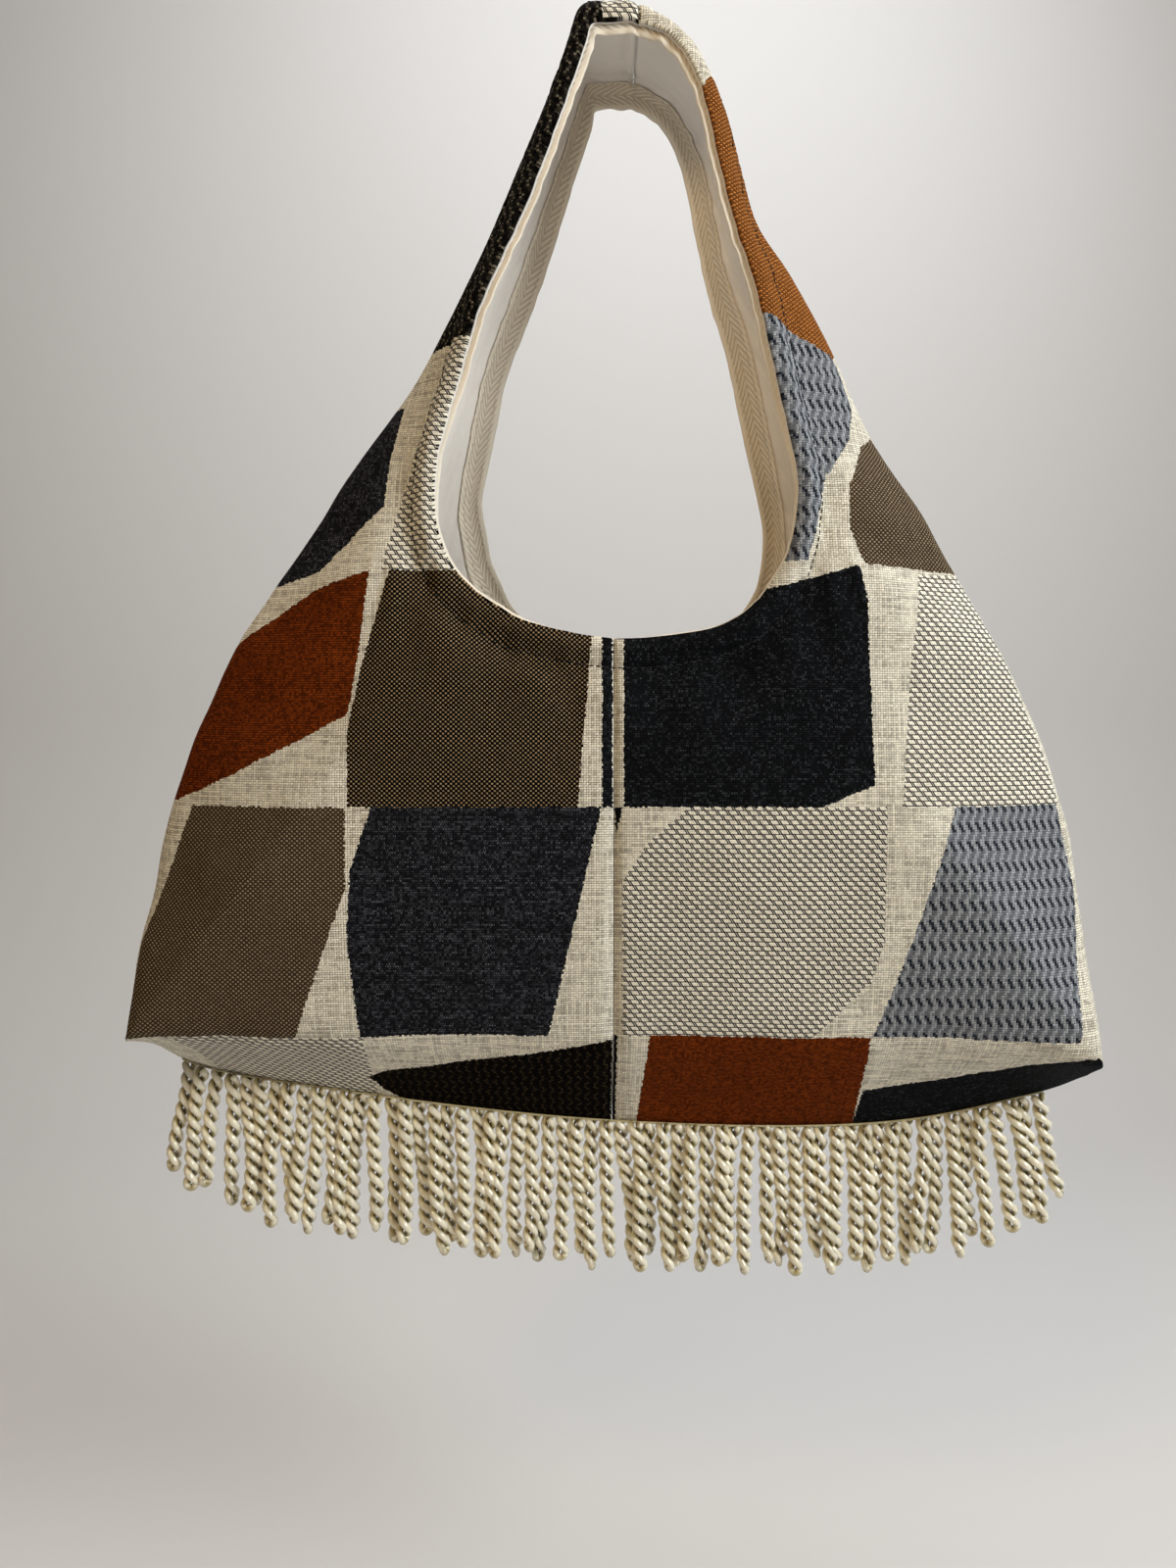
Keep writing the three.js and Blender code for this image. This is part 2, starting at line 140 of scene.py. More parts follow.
def unit(v):
    return v / np.maximum(np.linalg.norm(v, axis=-1, keepdims=True), 1e-9)


def rising(value, low, high):
    """From 0 below low to 1 above high."""
    return np.clip((value - low) / (high - low), 0, 1)


def run_along(line):
    """Distance of each point from the first one along a line."""
    return np.concatenate([[0], np.cumsum(np.linalg.norm(np.diff(line, axis=0), axis=1))])


def section_row(side):
    """Table rows along one half, from the centre of the bottom to the top seam, at close steps."""
    middle = (len(BOTTOM) - 1) // 2
    steps = np.linspace(0, 1, middle * BOTTOM_STEPS + 1)
    places = middle + steps * middle * side
    bottom = smooth(BOTTOM, places)
    rows, other = (RIGHT_SIDE, LEFT_SIDE) if side > 0 else (LEFT_SIDE, RIGHT_SIDE)
    past_top = np.vstack([rows, other[-2:-1]])
    upward = smooth(past_top, np.linspace(0, len(rows) - 1, (len(rows) - 1) * SIDE_STEPS + 1))
    return np.vstack([bottom, upward[1:]])


def profile(edge, fold, seam, blend, bulge):
    """Points of one section, close together across the hem, and their lengths from its opening edge."""
    to_edge, to_seam = edge - fold, seam - fold
    round_from = fold + to_edge * min(MOST_ROUNDED, blend / np.linalg.norm(to_edge))
    round_to = fold + to_seam * min(MOST_ROUNDED, blend / np.linalg.norm(to_seam))
    t = np.linspace(0, 1, FRONT_POINTS)[:, None]
    front = edge + (round_from - edge) * t
    front[:, 1] -= (bulge * 4 * t * (1 - t))[:, 0]
    s = np.linspace(0, 1, BEND_POINTS)[1:, None]
    bend = (1 - s) ** 2 * round_from + 2 * s * (1 - s) * fold + s**2 * round_to
    rest = round_to + (seam - round_to) * np.linspace(0, 1, REST_POINTS)[1:, None]
    line = np.vstack([front, bend, rest])
    along = run_along(line)
    hem = np.arange(EDGE_STEPS) * EDGE_STEP
    lengths = np.concatenate([hem, np.linspace(EDGE_STEPS * EDGE_STEP, along[-1], REST_STEPS)])
    return np.stack([np.interp(lengths, along, line[:, k]) for k in range(3)], axis=1), lengths


def dent_at(x, z):
    """How deep the dents are at places on the front."""
    depth = np.zeros_like(x)
    for dent_x, dent_z, turn, length, width, deep in DENTS:
        c, s = math.cos(math.radians(turn)), math.sin(math.radians(turn))
        along = (x - dent_x) * c + (z - dent_z) * s
        across = (z - dent_z) * c - (x - dent_x) * s
        depth += deep * np.exp(-((along / length) ** 2) - (across / width) ** 2)
    return depth


def cloth_face(side, back):
    """One half of the front or back: its points, flat cloth coordinates, distances and ply directions.

    A back half is worked out on the front side and mirrored where it is used.
    """
    points, flat, along = [], [], []
    upright = np.array([1, 0, 1])  # leaves out the depth
    for row in section_row(side):
        edge_x, edge_z, edge_y, fold_x, fold_z, fold_y, seam_out, blend, bulge, back_in = row
        edge, fold = np.array([edge_x, -edge_y, edge_z]), np.array([fold_x, -fold_y, fold_z])
        seam = (fold + unit((fold - edge) * upright) * seam_out) * upright
        if back:
            edge[0] -= side * back_in
        line, lengths = profile(edge, fold, seam, blend, bulge)
        points.append(line)
        along.append(lengths)
        outward = unit((fold - edge) * upright)
        flat.append(np.stack([edge[0] + outward[0] * lengths, edge[2] + outward[2] * lengths], axis=1))
    points, flat, along = np.array(points), np.array(flat), np.array(along)
    points[..., 1] += dent_at(points[..., 0], points[..., 2])
    steps = np.linalg.norm(np.diff(points, axis=0), axis=2)
    round_loop = np.vstack([np.zeros(points.shape[1]), np.cumsum(steps, axis=0)])
    normal = unit(np.cross(np.gradient(points, axis=1), np.gradient(points, axis=0)))
    if side < 0:
        normal = -normal
    mitred = normal.copy()
    mitred[:, -1, 1] = 0
    mitred[[0, -1], :, 0] = 0
    mitred = unit(mitred)
    mitred /= np.maximum(LEAST_MITRE, (mitred * normal).sum(-1))[..., None]
    return {
        "points": points,
        "normals": mitred,
        "flat": flat,
        "from_edge": along,
        "to_seam": along[:, -1:] - along,
        "from_centre": round_loop,
        "to_top": round_loop[-1] - round_loop,
    }


# Meshes


def waves(x, z, table):
    """A sum of long sine waves over the cloth."""
    total = np.zeros_like(x)
    for length, turn, start, height in table:
        c, s = math.cos(math.radians(turn)), math.sin(math.radians(turn))
        total += height * np.sin(2 * math.pi * (x * c + z * s) / length + start)
    return total


# Slack of the cloth, in waves: wavelength, direction in degrees, start, height
SLACK = [
    (97, 20, 0.4, 0.5),
    (61, 112, 2.1, 0.4),
    (44, 65, 4.0, 0.25),
    (33, 150, 1.2, 0.18),
    (23, 35, 5.1, 0.1),
]
SLACK_FROM, SLACK_FULL = -150, -230  # heights between which the slack sets in
STRAP_ENDS, BODY_STARTS = -120, -180
NECK_LOW, NECK_HIGH = -262, -237  # from the bottom of the neckline to beside the opening

# Ridges and grooves along the hem: distance from the opening edge, width, height
HEM_LINE = 12.0
HEM_RIM = (0, 1.8, -0.9)
HEM_RIDGE = (5, 3.5, 0.9)
HEM_VALLEY, VALLEY_STRAP, VALLEY_BODY = (14, 5.5), 0.3, 1.7
HEM_STITCHED = (HEM_LINE, 1.1, -0.5)
BESIDE_OPENING = (20, 9, -1.5)
PUCKER_HEM, PUCKER_EDGE = (HEM_LINE, 6, 0.42), (0, 4, 0.16)
HANGING_FOLDS = (26, 13, 1.1)
CENTRE_SEAM, TOP_SEAM = (0, 1.7, -1.1), (0, 1.7, -1.0)
SEAM_FREE, EDGE_FREE = 9, 26  # how far the slack keeps from the seams and the edge


def near(distance, at, width, height=1.0):
    """A smooth ridge of a given height and width at a distance."""
    return height * np.exp(-(((distance - at) / width) ** 2))


def relief(face):
    """How far the finished cloth stands out from its plain section, in millimetres."""
    x, z = face["points"][..., 0], face["points"][..., 2]
    edge, seam = face["from_edge"], face["to_seam"]
    centre, top = face["from_centre"], face["to_top"]
    off_seam = 1 - near(seam, 0, SEAM_FREE)
    free = (1 - near(edge, 0, EDGE_FREE)) * off_seam
    out = free * rising(-z, -SLACK_FROM, -SLACK_FULL) * waves(x, z, SLACK)
    # the hem: a rim turned in, a soft ridge and the valley that its stitches draw
    body = rising(-z, -STRAP_ENDS, -BODY_STARTS)
    beside = rising(z, NECK_LOW, NECK_HIGH) * body
    out += near(edge, *HEM_RIDGE) - (VALLEY_STRAP + VALLEY_BODY * body) * near(edge, *HEM_VALLEY)
    out += near(edge, *HEM_RIM) + near(edge, *HEM_STITCHED) + beside * near(edge, *BESIDE_OPENING)
    # puckers along the hem, and soft folds that hang from it
    pucker = np.sin(centre / 2.9 + 1.3 * np.sin(centre / 17)) + 0.6 * np.sin(centre / 1.7 + 2)
    out += pucker * (near(edge, *PUCKER_HEM) + near(edge, *PUCKER_EDGE))
    hanging = np.sin(centre / 5.6 + 0.9 * np.sin(centre / 23) + 0.7)
    out += (1 - beside) * body * hanging * near(edge, *HANGING_FOLDS)
    return out + near(centre, *CENTRE_SEAM) * off_seam + near(top, *TOP_SEAM)


def ply(face, side, depth, seam_gap=SEAM_GAP, centre_gap=SEAM_GAP):
    """The face at a depth under its finished outside, drawn back at its seams."""
    depth = depth - face["relief"]
    grid = face["points"] - face["normals"] * depth[..., None]
    grid[[0, -1], :, 0] = face["points"][[0, -1], :, 0] + side * centre_gap / 2
    grid[:, -1, 1] = -seam_gap / 2
    return grid


def mirrored(grid):
    """A front grid on the back."""
    return grid * [1, -1, 1]


ROLL_STEPS = 4  # points round a rolled edge


def shell(outer, inner, flat, flip=False):
    """Quads of a closed wall between two grids, with a round roll at its first column of points."""
    rows, columns = outer.shape[:2]
    middle = (outer[:, 0] + inner[:, 0]) / 2
    half = (outer[:, 0] - inner[:, 0]) / 2
    beyond = unit(outer[:, 0] - outer[:, 1]) * np.linalg.norm(half, axis=1, keepdims=True)
    turns = np.linspace(0, math.pi, ROLL_STEPS + 2)[1:-1]
    roll = np.stack([middle + half * math.cos(t) + beyond * math.sin(t) for t in turns], axis=1)
    ring = np.concatenate([outer[:, ::-1], roll, inner], axis=1)
    roll_flat = np.repeat(flat[:, :1], len(turns), axis=1)
    ring_flat = np.concatenate([flat[:, ::-1], roll_flat, flat], axis=1)
    count = ring.shape[1]
    index = np.arange(rows * count).reshape(rows, count)
    beside = np.roll(index, -1, axis=1)
    quads = np.stack([index[:-1], beside[:-1], beside[1:], index[1:]], axis=-1).reshape(-1, 4)

    def cap(row):
        far = row[count - 2 : count - columns - 1 : -1]
        return np.stack([row[: columns - 1], far + 1, far, row[1:columns]], axis=-1)

    faces = np.vstack([quads, cap(index[0]), cap(index[-1])[:, ::-1]])
    if flip:
        faces = faces[:, ::-1]
    return ring.reshape(-1, 3), faces.tolist(), ring_flat.reshape(-1, 2)


def add_uv(mesh, name, values):
    """A UV map from two values for each point."""
    corner = np.zeros(len(mesh.loops), np.int32)
    mesh.loops.foreach_get("vertex_index", corner)
    mesh.uv_layers.new(name=name).data.foreach_set("uv", values[corner].astype(np.float32).ravel())


def add_mesh(name, points, faces, flat=None):
    """A piece from points in millimetres, with cloth coordinates in metres as its UV map."""
    mesh = bpy.data.meshes.new(name)
    mesh.from_pydata((np.asarray(points) * MM).tolist(), [], faces)
    if flat is not None:
        add_uv(mesh, "Cloth", np.asarray(flat) * MM)
    mesh.polygons.foreach_set("use_smooth", np.full(len(mesh.polygons), True))
    mesh.validate()
    piece = bpy.data.objects.new(name, mesh)
    bpy.context.scene.collection.objects.link(piece)
    return piece


FACES = {}
for where in FACINGS:
    for half, side in SIDES.items():
        face = cloth_face(side, where == "back")
        face["relief"] = relief(face)
        FACES[where, half] = face


def add_panel(where, half):
    """One jacquard panel with a rolled opening edge. The back shows the cloth as seen from behind."""
    side = SIDES[half]
    face = FACES[where, half]
    outer, inner = ply(face, side, 0), ply(face, side, CLOTH)
    flat = face["flat"]
    if where == "back":
        outer, inner, flat = mirrored(outer), mirrored(inner), flat * [-1, 1]
    points, faces, uv = shell(outer, inner, flat, flip=(side > 0) == (where == "front"))
    return add_mesh(f"{where}_panel_{half}_cloth", points, faces, uv)


# Wrinkles of the lining, as waves like those of SLACK, which drift sideways
LINING_SLACK = [
    (71, 15, 0.9, 0.5),
    (47, 100, 2.6, 0.5),
    (29, 60, 0.3, 0.3),
    (19, 140, 4.4, 0.2),
    (13, 20, 2, 0.12),
]
LINING_DRIFT, LINING_DRIFT_EVERY = 6, 19
LINING_RAISED = 0.9
WRINKLES_FULL = TAPE_WIDTH + 14  # from the opening edge


def lining_wrinkles(face):
    """Soft wrinkles that only stand into the bag, and none under the tape."""
    x, z = face["points"][..., 0], face["points"][..., 2]
    free = rising(face["from_edge"], TAPE_WIDTH, WRINKLES_FULL) ** 2
    rise = waves(x + LINING_DRIFT * np.sin(z / LINING_DRIFT_EVERY), z, LINING_SLACK) + LINING_RAISED
    return free * np.clip(rise, 0, None)


def add_lining(half):
    """Front and back half of the lining in one sheet, turned at the side seam."""
    side = SIDES[half]

    def across(depth, wrinkled):
        grids = []
        for where in FACINGS:
            face = FACES[where, half]
            extra = lining_wrinkles(face) if wrinkled else 0
            grid = ply(face, side, depth + extra, seam_gap=0)
            grids.append(grid if where == "front" else mirrored(grid)[:, -2::-1])
        return np.concatenate(grids, axis=1)

    front_flat, back_flat = (FACES[where, half]["flat"] for where in FACINGS)
    flat = np.concatenate([front_flat, back_flat[:, -2::-1]], axis=1)
    inner, outer = across(LINING_TO, True), across(LINING_FROM, False)
    points, faces, uv = closed_sheet(outer, inner, flat, flip=side > 0)
    return add_mesh(f"lining_{half}_cotton", points, faces, uv)


def closed_sheet(outer, inner, flat, wrap=False, flip=False):
    """Quads of a closed wall between two grids, rounded a little at both long edges."""

    def lip(a, b, towards):
        return (a + b) / 2 + unit(towards) * 0.5 * np.linalg.norm(a - b, axis=1, keepdims=True)

    start = lip(outer[:, 0], inner[:, 0], outer[:, 0] - outer[:, 1])[:, None]
    end = lip(outer[:, -1], inner[:, -1], outer[:, -1] - outer[:, -2])[:, None]
    ring = np.concatenate([outer, end, inner[:, ::-1], start], axis=1)
    ring_flat = np.concatenate([flat, flat[:, -1:], flat[:, ::-1], flat[:, :1]], axis=1)
    rows, count = ring.shape[:2]
    columns = outer.shape[1]
    index = np.arange(rows * count).reshape(rows, count)
    beside = np.roll(index, -1, axis=1)
    if wrap:
        quads = np.stack([index, np.roll(index, -1, axis=0), np.roll(beside, -1, axis=0), beside], axis=-1)
        faces = quads.reshape(-1, 4)
    else:
        quads = np.stack([index[:-1], index[1:], beside[1:], beside[:-1]], axis=-1).reshape(-1, 4)

        def cap(row):
            j = np.arange(columns - 1)
            far = 2 * columns - j
            return np.stack([row[j], row[j + 1], row[far - 1], row[far]], axis=-1)

        faces = np.vstack([quads, cap(index[0]), cap(index[-1])[:, ::-1]])
    if flip:
        faces = faces[:, ::-1]
    return ring.reshape(-1, 3), faces.tolist(), ring_flat.reshape(-1, 2)


def opening_loop(where, depth):
    """The hem's points round the whole opening: up the right side and down the left."""
    left, right = (ply(FACES[where, half], side, depth, centre_gap=0) for half, side in SIDES.items())
    loop = np.concatenate([right, left[-2:0:-1]])
    return mirrored(loop) if where == "back" else loop


def add_tape(where):
    """The tape round one opening, and its length."""
    columns = int(TAPE_WIDTH / EDGE_STEP) + 1
    across = np.arange(columns) * EDGE_STEP

    def slid(grid):
        """The hem's grid moved towards the opening, so that the tape peeps past the hem."""
        z = grid[:, :1, 2]
        lip = TAPE_LIP + sum(more * rising(z, low, high) for low, high, more in TAPE_LIP_RISES)
        place = np.clip((across - lip) / EDGE_STEP, 0, None)
        i, row = place.astype(int), np.arange(len(grid))[:, None]
        share = (place - i)[..., None]
        beyond = np.clip(lip - across, 0, None)[..., None]
        moved = grid[row, i] * (1 - share) + grid[row, i + 1] * share
        return moved + unit(grid[:, :1] - grid[:, 1:2]) * beyond

    outer, inner = (slid(opening_loop(where, depth)) for depth in (TAPE_FROM, TAPE_TO))
    length = run_along(inner[:, columns // 2])
    flat = np.stack(np.broadcast_arrays(length[:, None], across[None, :]), axis=-1).astype(float)
    points, faces, uv = closed_sheet(outer, inner, flat, wrap=True, flip=where == "back")
    return add_mesh(f"edge_tape_{where}_twill", points, faces, uv), length[-1]


def tube_rings(path, frames, radius, sides):
    """Rings of points round a path, each with its own radius."""
    turn = np.linspace(0, 2 * math.pi, sides, endpoint=False)
    ring = np.cos(turn)[:, None] * frames[0][:, None] + np.sin(turn)[:, None] * frames[1][:, None]
    return path[:, None] + ring * np.asarray(radius)[:, None, None]


def tube_faces(rings, sides):
    """Quads of one tube, closed by one face at each end."""
    index = np.arange(rings * sides).reshape(rings, sides)
    beside = np.roll(index, -1, axis=1)
    quads = np.stack([index[:-1], beside[:-1], beside[1:], index[1:]], axis=-1).reshape(-1, 4)
    return quads.tolist() + [index[0][::-1].tolist(), index[-1].tolist()]


STITCH, STITCH_EVERY, STITCH_RADIUS = 2.3, 3.1, 0.27
STITCH_SIDES, STITCH_RINGS = 6, 6
STITCH_HIGH, STITCH_DIP = 0.22, 1.6  # height of its middle, and how its ends dive into the cloth
STITCH_FULL, STITCH_TAPER = 1.05, 0.85


def add_stitches(name, lines):
    """Rows of small bowed stitches along closed lines of points with outward directions."""
    shares = np.linspace(-0.5, 0.5, STITCH_RINGS)
    rise = (STITCH_HIGH - STITCH_DIP * shares**2)[:, None]
    radius = STITCH_RADIUS * np.sqrt(STITCH_FULL - (2 * shares) ** 2 * STITCH_TAPER)
    points, faces = [], []
    for line, out in lines:
        line, out = np.vstack([line, line[:1]]), np.vstack([out, out[:1]])
        length = run_along(line)
        for k in range(int(length[-1] / STITCH_EVERY)):
            s = (k * STITCH_EVERY + shares * STITCH) % length[-1]
            seat, outward = (np.stack([np.interp(s, length, c) for c in t.T], axis=-1) for t in (line, out))
            path = seat + outward * rise
            ahead = unit(np.gradient(path, axis=0))
            up = unit(np.cross(outward, ahead))
            rings = tube_rings(path, (up, np.cross(ahead, up)), radius, STITCH_SIDES)
            base = len(points) * STITCH_RINGS * STITCH_SIDES
            points.append(rings.reshape(-1, 3))
            faces += [[base + i for i in quad] for quad in tube_faces(STITCH_RINGS, STITCH_SIDES)]
    return add_mesh(name, np.vstack(points), faces)


def hem_line(where, from_edge, depth, outwards):
    """A line of points round an opening at a distance from its edge, and the way its stitches stand out."""
    loop = opening_loop(where, depth)
    toward = opening_loop(where, depth - 1.0) - loop
    j = from_edge / EDGE_STEP
    i, w = int(j), j - int(j)
    line = loop[:, i] * (1 - w) + loop[:, i + 1] * w
    return line, unit(toward[:, i]) * outwards


# Fringe


PLY_RADIUS, PLY_OFFSET, TWIST = 1.7, 2.0, 13.6
PLY_VARIES, OFFSET_VARIES, TWIST_VARIES = 0.05, 0.09, 0.09  # as shares of them
PLY_END = 0.8  # share of the radius at both ends of a ply
CORD_SIDES, CORD_STEPS, LOOP_STEPS = 8, 64, 7
LOOP_DROP = 1.25  # how far the end's loop hangs, in ply offsets
IN_FRONT = 1.4  # every other strand starts this far in front, the rest as far behind
BOW, S_BOW = 1.5, 0.9  # how far a strand bends one way, and both ways
TURN_BETWEEN = 1.7  # from one strand's twist to the next
YARN_SHIFTS, YARN_SHIFT = 7, 150  # keep the yarns of neighbours apart
HEADER_HEIGHT, HEADER_DEPTH = 1.0, 2.4
HEADER_UP = 0.3  # above the seam, between the panels
HEADER_POINTS, HEADER_RIB, RIB_TURN = 400, 0.25, 1.57
# how far out the header counts, which sets how much of the painted shade between plies it gets
HEADER_OUTNESS = 0.7


def seam_height(x):
    """Height of the bottom seam."""
    places = np.linspace(0, len(BOTTOM) - 1, BOTTOM_STEPS * (len(BOTTOM) - 1) + 1)
    rows = smooth(BOTTOM, places)
    edge, fold = rows[:, EDGE_XZ], rows[:, FOLD_XZ]
    seam = fold + unit(fold - edge) * rows[:, SEAM_OUT]
    return np.interp(x, seam[:, 0], seam[:, 1])


def strand_ends():
    """Top and end of every strand, as in the solid."""
    i = np.arange(STRANDS)
    share = i / (STRANDS - 1)
    to_end = 2 * share - 1
    x = FRINGE_LEFT + (FRINGE_RIGHT - FRINGE_LEFT) * share
    top_z = np.minimum(seam_height(x - STRAND_RADIUS), seam_height(x + STRAND_RADIUS)) - SEAM_GAP
    swing = END_FLARE * to_end**7 + SWING * np.sin(i * 0.47) + SWING_RIPPLE * np.sin(i * 1.9 + 1)
    length = STRAND_LENGTH - END_SHORTER * to_end**8 + LENGTH_VARIES * np.sin(i * 2.3)
    top = np.stack([x, IN_FRONT * (-1.0) ** i, top_z], axis=1)
    end = np.stack([x + swing, SWAY * np.sin(i * 2.8 + 0.5), top_z - length], axis=1)
    return top, end


def strand_path(top, end, start):
    """The cord of one strand, down one ply, round the loop at the end and up the other, and its core."""
    axis = end - top
    length = np.linalg.norm(axis) - PLY_OFFSET - PLY_RADIUS
    down = unit(axis)
    right = unit(np.cross(down, [0, 1, 0]))
    front = np.cross(right, down)
    t = np.linspace(0, 1, CORD_STEPS)
    bow = BOW * math.sin(start * 3) * np.sin(math.pi * t)
    bow += S_BOW * math.cos(start * 5) * np.sin(2 * math.pi * t)
    middle = top + down * (t * length)[:, None] + right * bow[:, None]
    turn = 2 * math.pi * t * length / (TWIST * (1 + TWIST_VARIES * math.sin(2.7 * start)))
    spread = PLY_OFFSET * (1 + OFFSET_VARIES * np.sin(7 * t + start))

    def helix(phase):
        around = np.cos(turn + phase)[:, None] * right + np.sin(turn + phase)[:, None] * front
        return middle + around * spread[:, None]

    first, second = helix(start), helix(start + math.pi)
    bend = np.linspace(0, math.pi, LOOP_STEPS + 2)[1:-1]
    across = (first[-1] - second[-1]) / 2
    bottom = (first[-1] + second[-1]) / 2
    loop = bottom + across * np.cos(bend)[:, None] + down * (PLY_OFFSET * LOOP_DROP * np.sin(bend))[:, None]
    core = np.vstack([middle, 2 * loop - loop.mean(axis=0) - down * PLY_RADIUS, middle[::-1]])
    return np.vstack([first, loop, second[::-1]]), core


def carried_frames(path):
    """Two directions across a path that turn as little as they can along it."""
    ahead = unit(np.gradient(path, axis=0))
    across = np.zeros_like(path)
    across[0] = unit(np.cross(ahead[0], [0.3, 1, 0.2]))
    for i in range(1, len(path)):
        last = across[i - 1]
        across[i] = unit(last - ahead[i] * (last @ ahead[i]))
    return across, np.cross(ahead, across)


def add_fringe():
    """Strands and header in one mesh. A UV map holds how far each point lies out from its core, for painted
    shade between the plies.
    """
    points, faces, flat, groove_shade = [], [], [], []
    count = 0
    turn = np.linspace(0, 2 * math.pi, CORD_SIDES, endpoint=False)
    for i, (top, end) in enumerate(zip(*strand_ends())):
        path, core = strand_path(top, end, TURN_BETWEEN * i)
        radius = PLY_RADIUS * (1 + PLY_VARIES * np.sin(np.arange(len(path)) * 0.9 + i))
        radius[[0, -1]] *= PLY_END
        rings = tube_rings(path, carried_frames(path), radius, CORD_SIDES)
        length = run_along(path)[:, None] + YARN_SHIFT * (i % YARN_SHIFTS)
        uv = np.stack(np.broadcast_arrays(length, turn[None, :] * PLY_RADIUS), axis=-1)
        points.append(rings.reshape(-1, 3))
        flat.append(uv.reshape(-1, 2).astype(float))
        out = np.linalg.norm(rings - core[:, None], axis=2) / (PLY_OFFSET + PLY_RADIUS)
        groove_shade.append(out.reshape(-1))
        faces += [[count + k for k in face] for face in tube_faces(len(path), CORD_SIDES)]
        count += rings.shape[0] * CORD_SIDES
    header_points, header_faces = fringe_header()
    points.append(header_points)
    flat.append(header_points[:, [0, 2]])
    groove_shade.append(np.full(len(header_points), HEADER_OUTNESS))
    faces += [[count + k for k in face] for face in header_faces]
    piece = add_mesh("fringe_cord", np.vstack(points), faces, np.vstack(flat))
    outness = np.concatenate(groove_shade)
    add_uv(piece.data, "GrooveShade", np.stack([outness, outness], axis=1))
    return piece


def fringe_header():
    """The sewn band that carries the strands, as a row of ribs under the bottom seam."""
    ends = (FRINGE_LEFT - STRAND_RADIUS, FRINGE_RIGHT + STRAND_RADIUS)
    x = np.linspace(*ends, HEADER_POINTS)
    top = seam_height(x) + HEADER_UP
    depth = HEADER_DEPTH / 2 - SEAM_GAP + HEADER_RIB * np.sin(np.arange(len(x)) * RIB_TURN)
    shape = [(-0.7, 0), (-1, -0.3), (-1, -0.75), (-0.7, -1), (0.7, -1), (1, -0.75), (1, -0.3), (0.7, 0)]
    rings = np.stack([np.stack([x, y * depth, top + z * HEADER_HEIGHT], axis=1) for y, z in shape], axis=1)
    return rings.reshape(-1, 3), tube_faces(len(x), len(shape))


# Materials


def linear(red, green, blue):
    """A colour given as 0 to 255 on a screen, as the shader's linear values."""
    value = np.array([red, green, blue]) / 255
    value = np.where(value <= 0.04045, value / 12.92, ((value + 0.055) / 1.055) ** 2.4)
    return (*value.tolist(), 1.0)


def join(tree, value, slot):
    """Sets a socket to a number or colour, or links a field to it."""
    if isinstance(value, Field):
        tree.links.new(value.socket, slot)
    else:
        slot.default_value = value


def add_node(tree, kind, inputs, output=0, **settings):
    """One output of a new shader node as a field."""
    node = tree.nodes.new(f"ShaderNode{kind}")
    for name, value in settings.items():
        setattr(node, name, value)
    for slot, value in inputs.items():
        join(tree, value, node.inputs[slot])
    return Field(tree, node.outputs[output])


def by_node(operation, *fixed):
    """A method of a field that applies one operation of the math node."""
    return lambda field, *others: field.math(operation, *others, *fixed)


class Field:
    """A number that varies over a surface, worked out by shader nodes from arithmetic."""

    def __init__(self, tree, socket):
        self.tree, self.socket = tree, socket

    def math(self, operation, *others):
        return add_node(self.tree, "Math", dict(enumerate((self, *others))), operation=operation)

    __add__, __sub__ = by_node("ADD"), by_node("SUBTRACT")
    __mul__, __truediv__ = by_node("MULTIPLY"), by_node("DIVIDE")
    times_plus = by_node("MULTIPLY_ADD")
    floor, part, size = by_node("FLOOR"), by_node("FRACT"), by_node("ABSOLUTE")
    least, most, above = by_node("MINIMUM"), by_node("MAXIMUM"), by_node("GREATER_THAN")
    squared, equals = by_node("POWER", 2.0), by_node("COMPARE", 0.1)

    def inverse(self):
        """One less this field."""
        return self.times_plus(-1.0, 1.0)

    def hump(self):
        """From 0 over 1 to 0 as the field goes from 0 to 1."""
        return self.times_plus(2.0, -1.0).squared().inverse()

    def ramp(self, low, high):
        """A soft step from 0 at low to 1 at high."""
        inputs = {"Value": self, "From Min": low, "From Max": high}
        return add_node(self.tree, "MapRange", inputs, "Result", interpolation_type="SMOOTHSTEP")


